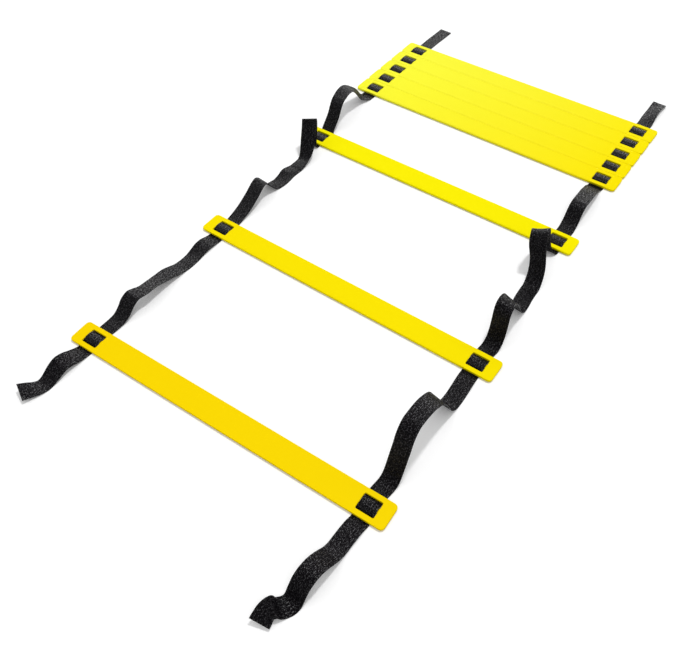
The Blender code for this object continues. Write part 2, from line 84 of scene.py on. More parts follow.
# Sizes that the straps share with the CAD, in metres and degrees.
ladder = {"rungCount": 8, "rungWidth": 0.037, "rungLength": 0.508, "rungThickness": 0.004,
          "windowWidth": 0.0225, "barWidth": 0.0065, "barThickness": 0.0032, "barRound": 0.0009,
          "strapInset": 0.0295, "seatGap": 0.0003, "packGap": 0.0003, "bays": (0.2194, 0.2299, 0.1345),
          "sides": (0.0219, 0.0212, 0.0047), "turns": (2.60, 0.65, 0.49), "foldSetback": 0.006,
          "foldStart": 0.002}
webbing = {"width": 0.0245, "thickness": 0.0012, "selvedge": 0.0016, "bodyShare": 0.9, "step": 0.0015,
           "acrossSteps": 10, "edgeSteps": 4, "curveSteps": 24, "flatSteps": 6, "archSteps": 28,
           "tangentReach": 0.0006, "endRound": 0.0012, "endThinness": 0.08, "searedRun": 0.0024,
           "endShares": (0.9, 0.6, 0.3, 0.1, 0)}

strapReach = ladder["rungLength"] / 2 - ladder["strapInset"]
onFloor = webbing["thickness"] / 2
rungMiddle = webbing["thickness"] + ladder["seatGap"] + ladder["rungThickness"] / 2
onBar = rungMiddle + ladder["barThickness"] / 2 + ladder["seatGap"] + webbing["thickness"] / 2
wrapHalfLength = (ladder["windowWidth"] / 2 + (ladder["rungWidth"] - ladder["windowWidth"]) / 4
                  + ladder["seatGap"])


def rungFrames():
    # Where each rung's middle lies on the floor, and how it is turned, counted from the near end.
    bays, sides, turns = (list(ladder[name]) for name in ("bays", "sides", "turns"))
    spare = ladder["rungCount"] - len(bays)
    gaps = bays + [ladder["packGap"]] * spare
    frames = []
    y = 0
    for index, (side, turn) in enumerate(zip(sides + [0] * spare, turns + [0] * spare)):
        if index:
            y += ladder["rungWidth"] + gaps[index - 1]
        frames.append(Matrix.Translation((side, y, 0)) @ Matrix.Rotation(math.radians(turn), 4, "Z"))
    shift = Matrix.Translation(datum - frames[len(bays)].translation)
    return [shift @ one for one in frames]


rungPlaces = rungFrames()


def strapPoint(place, side, along, height):
    return place @ Vector((side * strapReach, along, height))


class Route:
    # The CAD's own curve through a stretch's points, read by its length.

    def __init__(self, points, angles):
        points = np.array([tuple(point) for point in points])
        knots = np.concatenate([[0], np.cumsum(np.linalg.norm(np.diff(points, axis=0), axis=1))])
        values = np.column_stack([points, np.array(angles, dtype=float)])
        slopes = np.gradient(values, knots, axis=0)
        rows = []
        for index in range(len(points) - 1):
            span = knots[index + 1] - knots[index]
            for step in range(webbing["curveSteps"]):
                t = step / webbing["curveSteps"]
                rows.append((2 * t ** 3 - 3 * t ** 2 + 1) * values[index]
                            + (t ** 3 - 2 * t ** 2 + t) * span * slopes[index]
                            + (3 * t ** 2 - 2 * t ** 3) * values[index + 1]
                            + (t ** 3 - t ** 2) * span * slopes[index + 1])
        rows.append(values[-1])
        self.rows = np.array(rows)
        self.rows[:, 2] = np.maximum(self.rows[:, 2], onFloor)
        self.lengths = np.concatenate(
            [[0], np.cumsum(np.linalg.norm(np.diff(self.rows[:, :3], axis=0), axis=1))])
        self.length = self.lengths[-1]

    def at(self, length):
        return np.array([np.interp(length, self.lengths, self.rows[:, column]) for column in range(5)])

    def section(self, length):
        # The middle of the webbing, the way along it, and its half width as a vector.
        reach = min(webbing["tangentReach"], self.length / 4)
        start = self.at(max(length - reach, 0))
        end = self.at(min(length + reach, self.length))
        tangent = Vector(end[:3] - start[:3]).normalized()
        here = self.at(length)
        turned = Matrix.Rotation(math.radians(here[4]), 3, "Z") @ Vector((1, 0, 0))
        flat = (turned - tangent * turned.dot(tangent)).normalized()
        half = Matrix.Rotation(math.radians(here[3]), 3, tangent) @ flat * webbing["width"] / 2
        middle = Vector(here[:3])
        lift = max(0, onFloor - min((middle + half).z, (middle - half).z))
        return middle + Vector((0, 0, lift)), tangent, half


def freeRoute(number, side, wave, shares):
    # From under the rear rim of one rung to under the front rim of the next.
    first = strapPoint(rungPlaces[number - 1], side, ladder["rungWidth"] / 2, onFloor)
    last = strapPoint(rungPlaces[number], side, -ladder["rungWidth"] / 2, onFloor)
    points = [strapPoint(rungPlaces[number - 1], side, wrapHalfLength, onFloor), first]
    angles = [(0, 0), (0, 0)]
    for along, height, drift, lean, *turn in shares:
        points.append(first.lerp(last, along) + Vector((drift * webbing["width"], 0, height * wave)))
        angles.append((lean, turn[0] if turn else 0))
    points += [last, strapPoint(rungPlaces[number], side, -wrapHalfLength, onFloor)]
    return Route(points, angles + [(0, 0), (0, 0)])


def looseRoute(number, side, direction, reach, wave, shares):
    # From under a rung's outer rim along the floor to the webbing's cut end.
    place = rungPlaces[number - 1]
    first = strapPoint(place, side, direction * ladder["rungWidth"] / 2, onFloor)
    points = [strapPoint(place, side, direction * wrapHalfLength, onFloor), first]
    angles = [(0, 0), (0, 0)]
    for along, height, drift, lean in shares:
        points.append(first + Vector((drift * webbing["width"], direction * reach * along, height * wave)))
        angles.append((direction * lean, 0))
    return Route(points, angles)


def profileRing():
    # The webbing's section, flat with round selvedges a little thicker than its body, as places across
    # and through it.
    halfWidth = webbing["width"] / 2
    halfThick = webbing["thickness"] / 2
    flatEnd = halfWidth - halfThick
    body = halfWidth - webbing["selvedge"]
    spread = [body * (2 * step / webbing["acrossSteps"] - 1) for step in range(webbing["acrossSteps"] + 1)]
    upper = [(-flatEnd, halfThick)] + [(x, halfThick * webbing["bodyShare"]) for x in spread]
    upper.append((flatEnd, halfThick))
    edge = []
    for step in range(1, webbing["edgeSteps"]):
        angle = math.pi / 2 - math.pi * step / webbing["edgeSteps"]
        edge.append((flatEnd + halfThick * math.cos(angle), halfThick * math.sin(angle)))
    lower = [(x, -z) for x, z in reversed(upper)]
    return upper + edge + lower + [(-x, z) for x, z in reversed(edge)]


ring = profileRing()


def sectionMatrix(middle, tangent, half, pinch):
    # Takes the profile's places across and through to their places at one section.
    sideways = half.normalized()
    normal = sideways.cross(tangent).normalized()
    turn = Matrix((sideways, normal * pinch, sideways.cross(normal))).transposed().to_4x4()
    return Matrix.Translation(middle) @ turn


def placeMesh(name, bm):
    mesh = bpy.data.meshes.new(name)
    bm.to_mesh(mesh)
    bm.free()
    made = bpy.data.objects.new(name, mesh)
    bpy.context.scene.collection.objects.link(made)
    return made


def ribbonMesh(name, sections, cutEnd, firstRun=0.0):
    # Extrudes the profile from section to section, with a map in metres along and across the webbing.
    bm = bmesh.new()
    along, across, seared = (bm.verts.layers.float.new(layer) for layer in ("along", "across", "seared"))
    for x, z in ring:
        bm.verts.new((x, z, 0))[across] = x
    corners = bm.verts[:]
    startRim = [bm.edges.new(pair) for pair in zip(corners, corners[1:] + corners[:1])]
    endRim = startRim
    place = Matrix.Identity(4)
    run = 0
    total = sum((here[0] - there[0]).length for here, there in zip(sections, sections[1:]))
    for index, (middle, tangent, half) in enumerate(sections):
        if index:
            run += (middle - sections[index - 1][0]).length
            grown = bmesh.ops.extrude_edge_only(bm, edges=endRim)["geom"]
            endRim = [item for item in grown if isinstance(item, bmesh.types.BMEdge)]
            corners = [item for item in grown if isinstance(item, bmesh.types.BMVert)]
        left = total - run
        pinch = 1
        if cutEnd and left < webbing["endRound"]:
            pinch = math.sqrt(max(webbing["endThinness"], 1 - (1 - left / webbing["endRound"]) ** 2))
        wanted = sectionMatrix(middle, tangent, half, pinch)
        bmesh.ops.transform(bm, matrix=wanted @ place.inverted(), verts=corners)
        place = wanted
        for vertex in corners:
            vertex[along] = firstRun + run
            vertex[seared] = max(0, 1 - left / webbing["searedRun"]) if cutEnd else 0
    for rim in (startRim, endRim):
        bmesh.ops.edgeloop_fill(bm, edges=rim)
    bmesh.ops.recalc_face_normals(bm, faces=bm.faces)
    uvMap = bm.loops.layers.uv.new("alongAcross")
    for face in bm.faces:
        # The quads run round the webbing, and the two caps stay flat.
        face.smooth = len(face.verts) == 4
        for loop in face.loops:
            loop[uvMap].uv = (loop.vert[along], loop.vert[across])
    return placeMesh(name, bm)


def ribbonAlong(name, route, start, end, cutEnd=False):
    steps = max(2, math.ceil((end - start) / webbing["step"]))
    lengths = list(np.linspace(start, end, steps + 1))
    if cutEnd:
        lengths = lengths[:-1] + [end - webbing["endRound"] * share for share in webbing["endShares"]]
        lengths.sort()
    return ribbonMesh(name, [route.section(length) for length in lengths], cutEnd, start)


def lengthAtShare(route, number, side, share):
    # How far along its route a stretch has come at a share of the way from rim to rim.
    first = strapPoint(rungPlaces[number - 1], side, ladder["rungWidth"] / 2, 0)
    last = strapPoint(rungPlaces[number], side, -ladder["rungWidth"] / 2, 0)
    return route.lengths[np.argmax(route.rows[:, 1] >= first.lerp(last, share).y)]


# The stretches between spread rungs: rows of along, height, drift to the right in webbing widths, lean in
# degrees with the left edge up, and the turn in degrees where a loop stands turned, as in the CAD.
stretches = [
    {"after": 1, "side": -1, "word": "left", "wave": 0.0224, "split": 0.9, "rows": [
        (0.01, 0, 0, 0), (0.05, 0.04, 0.03, 0), (0.09, 0.07, 0.04, 0), (0.12, 0.13, 0.05, 0),
        (0.15, 0.28, 0.05, 2), (0.18, 0.51, 0.05, 4), (0.2, 0.71, 0.05, 6), (0.23, 0.91, 0.06, 6),
        (0.26, 1, 0.06, 4), (0.29, 0.95, 0.09, 0), (0.33, 0.88, 0.15, -6), (0.37, 0.84, 0.15, -10),
        (0.43, 0.68, 0.09, -8), (0.49, 0.52, 0.05, -2), (0.55, 0.4, 0.04, 3), (0.6, 0.2, 0.03, 4),
        (0.65, 0.04, 0.03, 0), (0.7, 0, 0.06, 0), (0.76, 0, 0.05, 0), (0.81, 0.06, 0.01, 3),
        (0.86, 0.17, 0, 8), (0.9, 0.18, 0, 8), (0.95, 0.08, 0, 3), (0.99, 0.01, 0, 0)]},
    {"after": 1, "side": 1, "word": "right", "wave": 0.0764, "split": 0.89, "rows": [
        (0.01, 0, 0, 0), (0.05, 0.01, 0.04, 0), (0.09, 0.03, 0.07, 0), (0.12, 0.1, 0.08, 0),
        (0.14, 0.2, 0.08, 0), (0.165, 0.36, 0.08, 0), (0.185, 0.51, 0.09, 0), (0.21, 0.67, 0.09, 0),
        (0.235, 0.81, 0.07, 0), (0.27, 0.92, 0.05, 0), (0.31, 0.98, 0.03, 0), (0.36, 0.99, 0.03, 1),
        (0.41, 0.98, 0.03, 4), (0.455, 0.95, 0.03, 7), (0.505, 0.88, 0.03, 9), (0.555, 0.78, 0.03, 10),
        (0.6, 0.6, 0.03, 9), (0.64, 0.36, 0.04, 6), (0.68, 0.13, 0.07, 2), (0.72, 0.02, 0.09, 0),
        (0.78, 0, 0.1, 0), (0.86, 0.01, 0.07, 0), (0.93, 0.02, 0.03, 0), (0.99, 0, 0, 0)]},
    {"after": 2, "side": -1, "word": "left", "wave": 0.0594, "split": 0.7, "rows": [
        (0.01, 0, 0, 0, 0), (0.05, 0.02, 0, 0, 0), (0.1, 0.07, 0.02, 0, 0), (0.15, 0.13, 0.03, 0, 0),
        (0.2, 0.21, 0.03, 0, 0), (0.245, 0.29, 0.03, 0, 0), (0.285, 0.37, 0.02, 0, 0),
        (0.32, 0.42, 0, 0, 0), (0.35, 0.44, 0.01, 2, 0), (0.375, 0.38, 0.04, 4, 0), (0.4, 0.24, 0.08, 4, 0),
        (0.425, 0.09, 0.12, 2, 0), (0.45, 0.01, 0.17, 0, 0), (0.51, 0, 0.31, 0, 0),
        (0.56, 0.01, 0.34, 4, 0), (0.61, 0.04, 0.34, 12, 0), (0.66, 0.02, 0.37, 6, 0), (0.7, 0, 0.42, 0, 2),
        (0.75, 0.02, 0.46, -10, 8), (0.8, 0.08, 0.47, -20, 14), (0.835, 0.2, 0.45, -16, 24),
        (0.865, 0.37, 0.4, -8, 32), (0.89, 0.56, 0.34, -2, 36), (0.91, 0.73, 0.29, 0, 37),
        (0.928, 0.9, 0.24, 0, 37), (0.943, 1.02, 0.18, 0, 36), (0.957, 0.89, 0.11, 0, 32),
        (0.96, 0.66, 0.06, 0, 24), (0.961, 0.44, 0.02, 0, 14), (0.9615, 0.25, 0, 0, 6),
        (0.966, 0.08, 0, 0, 0), (0.978, 0.01, 0, 0, 0), (0.99, 0, 0, 0, 0)]},
    {"after": 2, "side": 1, "word": "right", "wave": 0.0654, "split": 0.58, "rows": [
        (0.01, 0, 0, 0, 0), (0.06, 0.02, 0.08, 0, 0), (0.095, 0.11, 0.12, 0, 0), (0.115, 0.27, 0.13, 0, 0),
        (0.122, 0.48, 0.14, 0, 0), (0.126, 0.69, 0.14, 0, 0), (0.135, 0.88, 0.13, 0, 0),
        (0.155, 0.99, 0.12, 2, 0), (0.185, 1.02, 0.12, 6, 0), (0.225, 0.97, 0.12, 10, 0),
        (0.27, 0.82, 0.12, 14, 0), (0.312, 0.6, 0.12, 15, 0), (0.35, 0.35, 0.13, 12, 0),
        (0.385, 0.13, 0.16, 5, 0), (0.42, 0.02, 0.19, 0, 0), (0.46, 0, 0.2, 0, 0), (0.53, 0, 0.18, 0, 0),
        (0.585, 0, 0.19, 0, 0), (0.62, 0.01, 0.21, 0, 0), (0.665, 0.09, 0.18, 0, 0),
        (0.69, 0.2, 0.14, 0, 0), (0.71, 0.32, 0.08, 0, 0), (0.724, 0.46, -0.01, 0, 1),
        (0.731, 0.63, -0.12, 0, 5), (0.739, 0.82, -0.26, 0, 16), (0.757, 0.98, -0.39, 0, 32),
        (0.79, 1.05, -0.47, 0, 38), (0.825, 1.03, -0.51, 0, 38), (0.857, 0.9, -0.52, 0, 36),
        (0.887, 0.67, -0.51, 0, 30), (0.91, 0.43, -0.46, 0, 22), (0.93, 0.22, -0.36, 0, 12),
        (0.952, 0.08, -0.18, 0, 4), (0.975, 0.01, -0.05, 0, 0), (0.99, 0, 0, 0, 0)]},
    {"after": 3, "side": -1, "word": "left", "wave": 0.0464, "split": 0.83, "rows": [
        (0.01, 0, 0, 0), (0.05, 0.08, -0.05, 0), (0.1, 0.21, -0.07, 0), (0.145, 0.35, -0.06, 0),
        (0.18, 0.52, -0.03, 0), (0.21, 0.69, -0.02, 0), (0.25, 0.84, -0.04, 0), (0.305, 0.94, -0.08, 0),
        (0.36, 0.98, -0.12, 2), (0.42, 1.01, -0.16, 4), (0.475, 1.02, -0.17, 6), (0.53, 0.99, -0.18, 8),
        (0.585, 0.9, -0.18, 13), (0.64, 0.76, -0.18, 20), (0.69, 0.61, -0.18, 27), (0.74, 0.46, -0.18, 33),
        (0.79, 0.31, -0.17, 34), (0.84, 0.18, -0.13, 24), (0.89, 0.06, -0.06, 9), (0.94, 0.01, -0.02, 0),
        (0.99, 0, 0, 0)]},
    {"after": 3, "side": 1, "word": "right", "wave": 0.0244, "split": 0.83, "rows": [
        (0.01, 0, 0, 0), (0.08, 0.02, 0.03, 0), (0.17, 0.1, 0.02, 0), (0.235, 0.32, 0.01, 0),
        (0.29, 0.63, 0, 0), (0.34, 0.87, 0, 0), (0.4, 1, 0.01, 0), (0.475, 0.97, 0.02, 2),
        (0.565, 0.89, 0.02, 3), (0.67, 0.78, 0.01, 2), (0.78, 0.57, 0, 0), (0.865, 0.32, -0.04, 0),
        (0.915, 0.14, -0.06, 0), (0.955, 0.03, -0.03, 0), (0.99, 0, 0, 0)]}
]

# The loose ends, with their reach along the floor.
looseEnds = [
    {"rung": 1, "side": -1, "direction": -1, "node": "left_strap_near_end",
     "reach": 0.1, "wave": 0.0114, "rows": [
        (0.01, 0, 0, 0), (0.08, 0.14, 0, 4), (0.18, 0.42, 0, 12), (0.28, 0.8, 0, 18), (0.38, 0.98, 0, 20),
        (0.47, 0.78, 0, 16), (0.57, 0.38, 0, 8), (0.65, 0.08, 0, 2), (0.72, 0.02, 0, 0),
        (0.81, 0.2, -0.08, 8), (0.9, 0.56, -0.2, 21), (1, 0.98, -0.32, 32)]},
    {"rung": 1, "side": 1, "direction": -1, "node": "right_strap_near_end",
     "reach": 0.157, "wave": 0.027, "rows": [
        (0.01, 0, 0, 0), (0.07, 0.07, -0.03, 0), (0.14, 0.11, -0.04, 0), (0.22, 0.09, -0.05, 0),
        (0.28, 0.1, -0.05, 0), (0.34, 0.27, -0.05, 3), (0.4, 0.57, -0.06, 7), (0.46, 0.84, -0.08, 9),
        (0.52, 1.01, -0.1, 8), (0.58, 1.03, -0.12, 6), (0.64, 0.8, -0.17, 2), (0.7, 0.36, -0.2, 0),
        (0.75, 0.05, -0.21, 0), (0.78, 0.02, -0.24, 4), (0.81, 0.04, -0.34, 14), (0.84, 0.14, -0.47, 27),
        (0.87, 0.42, -0.64, 40), (0.91, 0.5, -0.72, 38), (0.955, 0.4, -0.72, 30), (1, 0.28, -0.7, 20)]},
    {"rung": 8, "side": -1, "direction": 1, "node": "left_strap_far_end",
     "reach": 0.08, "wave": 0.0006, "rows": [
        (0.01, 0, 0, 0), (0.15, 0, 0.01, 0), (0.4, 0.4, 0.02, 0), (0.7, 0.8, 0.07, 0), (1, 1, 0.1, 0)]},
    {"rung": 8, "side": 1, "direction": 1, "node": "right_strap_far_end",
     "reach": 0.0815, "wave": 0.0056, "rows": [
        (0.01, 0, 0, 0), (0.15, 0.1, 0.03, -2), (0.33, 0.45, 0, -10), (0.52, 0.7, -0.02, -18),
        (0.7, 0.75, -0.02, -20), (0.88, 0.55, 0, -10), (1, 0.45, 0.02, 0)]}
]


def splitStretch(settings):
    # A stretch in two pieces: the slack up to the folding link, and the lead from there into the next rung.
    number, side, word = settings["after"], settings["side"], settings["word"]
    pair = "%s_strap_%d_%d" % (word, number, number + 1)
    route = freeRoute(number, side, settings["wave"], settings["rows"])
    split = lengthAtShare(route, number, side, settings["split"])
    slack = ribbonAlong(pair + "_slackWebbing", route, 0, split)
    start, end = route.section(0)[0], route.section(split)[0]
    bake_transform(slack)
    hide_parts(pair + "_slack")
    lead = ribbonAlong(pair + "_leadWebbing", route, split, route.length)
    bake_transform(lead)
    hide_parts(pair + "_lead")
    return [slack, lead]


straps = []
for settings in stretches:
    straps += splitStretch(settings)
print("stage: slack webbing")

for settings in looseEnds:
    route = looseRoute(settings["rung"], settings["side"], settings["direction"], settings["reach"],
                       settings["wave"], settings["rows"])
    piece = ribbonAlong(settings["node"] + "Webbing", route, 0, route.length, cutEnd=True)
    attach(piece, "body_rung_%d" % settings["rung"])
    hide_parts(settings["node"])
    straps.append(piece)
print("stage: loose ends")


def wrapPath():
    # The half ellipse that the webbing makes over a window's centre bar, as in the CAD but finer.
    foot = ladder["windowWidth"] / 2 - ladder["seatGap"] - webbing["thickness"] / 2
    shoulder = ladder["barWidth"] / 2 - ladder["barRound"]
    rise = (onBar - onFloor) / math.sqrt(1 - (shoulder / foot) ** 2)
    flatSteps, archSteps = webbing["flatSteps"], webbing["archSteps"]
    path = []
    for step in range(flatSteps):
        path.append((-wrapHalfLength + (wrapHalfLength - foot) * step / flatSteps, onFloor))
    for step in range(archSteps + 1):
        angle = math.pi * (step / archSteps - 0.5)
        path.append((foot * math.sin(angle), onFloor + rise * math.cos(angle)))
    return path + [(-along, height) for along, height in reversed(path[:flatSteps])]


def wrappedWebbing(number, side, word):
    place = rungPlaces[number - 1]
    path = wrapPath()
    sections = []
    sideways = place.to_3x3() @ Vector((webbing["width"] / 2, 0, 0))
    for index, (along, height) in enumerate(path):
        before, after = path[max(index - 1, 0)], path[min(index + 1, len(path) - 1)]
        tangent = (place.to_3x3() @ Vector((0, after[0] - before[0], after[1] - before[1]))).normalized()
        sections.append((strapPoint(place, side, along, height), tangent, sideways))
    node = "%s_strap_in_rung_%d" % (word, number)
    made = ribbonMesh(node + "_webbing", sections, False)
    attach(made, "body_rung_%d" % number)
    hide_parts(node)
    return made


def packWebbing(number, side, word):
    # The stretch under the rims of two neighbouring rungs, which draws out as they part.
    route = freeRoute(number, side, 0, [(0.5, 0, 0, 0)])
    node = "%s_strap_%d_%d" % (word, number, number + 1)
    made = ribbonAlong(node + "_webbing", route, 0, route.length)
    start, end = route.section(0)[0], route.section(route.length)[0]
    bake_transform(made)
    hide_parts(node)
    return made


packStraps = []
for side, word in ((-1, "left"), (1, "right")):
    for number in range(1, ladder["rungCount"] + 1):
        straps.append(wrappedWebbing(number, side, word))
        if len(ladder["bays"]) < number < ladder["rungCount"]:
            packStraps.append(packWebbing(number, side, word))
print("stage: woven ends")


def linear(level):
    # The light that a level of 0 to 255 stands for, by the sRGB curve.
    value = level / 255
    return value / 12.92 if value <= 0.04045 else ((value + 0.055) / 1.055) ** 2.4


def colourOf(levels):
    # A shader's colour from levels of red, green and blue.
    return [linear(level) for level in levels] + [1]


class Graph:
    # Short calls for adding and joining shader nodes.

    def __init__(self, tree):
        self.tree = tree

    def join(self, output, target):
        self.tree.links.new(output, target)

    def add(self, kind, values=None, **settings):
        node = self.tree.nodes.new(kind)
        for name, value in settings.items():
            setattr(node, name, value)
        for name, value in (values or {}).items():
            if isinstance(value, bpy.types.NodeSocket):
                self.join(value, node.inputs[name])
            else:
                node.inputs[name].default_value = value
        return node

    def math(self, operation, first, second=0.0):
        return self.add("ShaderNodeMath", {0: first, 1: second}, operation=operation).outputs[0]

    def mix(self, share, first, second):
        return self.add("ShaderNodeMix", {0: share, 6: first, 7: second}, data_type="RGBA").outputs[2]

    def noise(self, place, scale, detail, roughness=0.5, distortion=0.0):
        return self.add("ShaderNodeTexNoise", {
            "Vector": place, "Scale": scale, "Detail": detail, "Roughness": roughness,
            "Distortion": distortion}).outputs[0]

    def between(self, value, span, results=(0.0, 1.0), blend="LINEAR"):
        # A value between the two of span, turned into one between the two results.
        return self.add("ShaderNodeMapRange", {
            "Value": value, "From Min": span[0], "From Max": span[1], "To Min": results[0],
            "To Max": results[1]}, interpolation_type=blend).outputs[0]


def groupTree(name, outputs):
    # A node group that works out some numbers from a place.
    tree = bpy.data.node_groups.new(name, "ShaderNodeTree")
    tree.interface.new_socket("Place", in_out="INPUT", socket_type="NodeSocketVector")
    for label in outputs:
        tree.interface.new_socket(label, in_out="OUTPUT", socket_type="NodeSocketFloat")
    graph = Graph(tree)
    return graph, graph.add("NodeGroupInput").outputs[0], graph.add("NodeGroupOutput").inputs


def blankMaterial(name):
    material = bpy.data.materials.new(name)
    material.use_nodes = True
    return material, Graph(material.node_tree), material.node_tree.nodes["Principled BSDF"].inputs


# The weave: pitches in metres, how round its ribs and yarns are, and the fuzz that breaks up its glints.
weave = {"ribPitch": 0.0022, "yarnPitch": 0.0019, "ribShift": 0.5, "evenStart": 200.0, "ribRound": 0.6,
         "yarnRound": 0.7, "selvedgeStart": 0.0111, "selvedgeHeight": 0.75, "fuzzScale": 520.0,
         "fuzzDetail": 3.0, "fuzzRoughness": 0.7, "fleckSpan": (0.5, 0.6), "glintPeak": 1.5,
         "patchScale": 70.0, "patchDetail": 3.0, "patchRoughness": 0.6}


def weaveGroup():
    # A plain weave from a place along and across the webbing in metres.
    graph, place, results = groupTree("plainWeave", ("Height", "Glint", "Patch"))
    parts = graph.add("ShaderNodeSeparateXYZ", {0: place})
    along, across = parts.outputs[0], parts.outputs[1]
    column = graph.math("DIVIDE", across, weave["yarnPitch"])
    # Every other column is shifted along; the count starts at an even number, so that none is below zero.
    odd = graph.math("MODULO", graph.math("FLOOR", graph.math("ADD", column, weave["evenStart"])), 2.0)
    rib = graph.math("ADD", graph.math("DIVIDE", along, weave["ribPitch"]),
                     graph.math("MULTIPLY", odd, weave["ribShift"]))
    ribWave, yarnWave = (
        graph.math("ABSOLUTE", graph.math("SINE", graph.math("MULTIPLY", count, math.pi)))
        for count in (rib, column))
    body = graph.math("MULTIPLY", graph.math("POWER", ribWave, weave["ribRound"]),
                      graph.math("POWER", yarnWave, weave["yarnRound"]))
    selvedge = graph.math("GREATER_THAN", graph.math("ABSOLUTE", across), weave["selvedgeStart"])
    height = graph.math("MAXIMUM", body, graph.math("MULTIPLY", selvedge, weave["selvedgeHeight"]))
    fuzz = graph.noise(place, weave["fuzzScale"], weave["fuzzDetail"], weave["fuzzRoughness"])
    flecks = graph.between(fuzz, weave["fleckSpan"])
    glint = graph.math("MULTIPLY", graph.math("POWER", height, weave["glintPeak"]), flecks)
    patch = graph.noise(place, weave["patchScale"], weave["patchDetail"], weave["patchRoughness"])
    for index, socket in enumerate((height, glint, patch)):
        graph.join(socket, results[index])
    return graph.tree


weaveTree = weaveGroup()

# The webbing's colours: the dark yarn, a lighter colour that paints highlights on the glints in the base
# colour, and the seared ends.
webbingLook = {"dark": (4, 3, 5), "paintedGlint": (38, 36, 40), "seared": (11, 10, 11), "bump": 0.0006,
               "bumpStrength": 0.9, "roughness": 0.4, "patchRoughness": 0.2, "searedGloss": 0.45,
               "specular": 0.03, "glintRoughness": 0.4, "glintIor": 1.56}


def placeInPack(graph):
    # Along and across for the webbing of the pack. It is drawn out flat along Y as the rungs part, and
    # a place read from the object keeps the weave's pitch in every pose.
    spot = graph.add("ShaderNodeSeparateXYZ", {0: graph.add("ShaderNodeTexCoord").outputs["Object"]})
    fromMiddle = graph.math("ABSOLUTE", graph.math("SUBTRACT", spot.outputs[0], datum.x))
    across = graph.math("SUBTRACT", fromMiddle, strapReach)
    return graph.add("ShaderNodeCombineXYZ", {0: spot.outputs[1], 1: across}).outputs[0]


def webbingMaterial(name, fromMap):
    material, graph, shader = blankMaterial(name)
    if fromMap:
        place = graph.add("ShaderNodeUVMap", uv_map="alongAcross").outputs[0]
    else:
        place = placeInPack(graph)
    woven = graph.add("ShaderNodeGroup", node_tree=weaveTree)
    graph.join(place, woven.inputs[0])
    height, glint, patch = woven.outputs[:3]
    # Painted highlight: the base colour turns lighter where the glints are, on the tops of the raised
    # yarns.
    clothAndPaintedGlints = graph.mix(glint, colourOf(webbingLook["dark"]), colourOf(webbingLook["paintedGlint"]))
    seared = graph.add("ShaderNodeAttribute", attribute_name="seared").outputs["Fac"]
    graph.join(graph.mix(seared, clothAndPaintedGlints, colourOf(webbingLook["seared"])), shader["Base Color"])
    worn = graph.math("ADD", graph.math("MULTIPLY", patch, webbingLook["patchRoughness"]),
                      webbingLook["roughness"])
    melted = graph.math("MULTIPLY", seared, webbingLook["searedGloss"])
    graph.join(graph.math("SUBTRACT", worn, melted), shader["Roughness"])
    bump = graph.add("ShaderNodeBump", {"Height": height, "Distance": webbingLook["bump"],
                                        "Strength": webbingLook["bumpStrength"]})
    graph.join(bump.outputs[0], shader["Normal"])
    # The glints are also a real thin coat on the raised yarns only.
    graph.join(glint, shader["Coat Weight"])
    shader["Coat Roughness"].default_value = webbingLook["glintRoughness"]
    shader["Coat IOR"].default_value = webbingLook["glintIor"]
    shader["Specular IOR Level"].default_value = webbingLook["specular"]
    return material


webbingByMap = webbingMaterial("webbingByMap", True)
webbingByPlace = webbingMaterial("webbingByPlace", False)
for pieces, material in ((straps, webbingByMap), (packStraps, webbingByPlace)):
    for piece in pieces:
        piece.data.materials.append(material)
print("stage: webbing material")

plasticLook = {"mottleDepth": 0.05, "mottleScale": 9.0, "mottleDetail": 2.0, "mottleShare": 0.6,
               "mottleRoughness": 0.05, "flowScale": 26.0, "flowDetail": 4.0, "flowDistortion": 0.4,
               "flowDrawn": (0.16, 1, 1), "grainScale": 1400.0, "grainDetail": 2.0, "grainHeight": 0.5,
               "scuffScale": 160.0, "scuffDetail": 6.0, "scuffBroken": 0.7, "scuffDrawn": (0.22, 1, 1),
               "scuffTurn": (0, 0, 0.35), "scuffSpan": (0.62, 0.8), "scuffRoughness": 0.12,
               "bump": 0.00006, "bumpStrength": 0.5, "roughness": 0.5, "specular": 0.015, "ior": 1.49}


def plasticGroup():
    # Moulded plastic from a place in metres: slow mottling with flow marks along the rung, grain, scuffs.
    graph, place, results = groupTree("mouldedPlastic", ("Mottle", "Grain", "Scuff"))
    slow = graph.noise(place, plasticLook["mottleScale"], plasticLook["mottleDetail"])
    drawn = graph.add("ShaderNodeMapping", {"Vector": place, "Scale": plasticLook["flowDrawn"]}).outputs[0]
    flow = graph.noise(drawn, plasticLook["flowScale"], plasticLook["flowDetail"],
                       distortion=plasticLook["flowDistortion"])
    mottle = graph.math("ADD", graph.math("MULTIPLY", slow, plasticLook["mottleShare"]),
                        graph.math("MULTIPLY", flow, 1 - plasticLook["mottleShare"]))
    grain = graph.noise(place, plasticLook["grainScale"], plasticLook["grainDetail"])
    scratched = graph.add("ShaderNodeMapping", {"Vector": place, "Scale": plasticLook["scuffDrawn"],
                                                "Rotation": plasticLook["scuffTurn"]}).outputs[0]
    scuff = graph.noise(scratched, plasticLook["scuffScale"], plasticLook["scuffDetail"],
                        plasticLook["scuffBroken"])
    marks = graph.between(scuff, plasticLook["scuffSpan"])
    for index, socket in enumerate((mottle, grain, marks)):
        graph.join(socket, results[index])
    return graph.tree


plasticTree = plasticGroup()


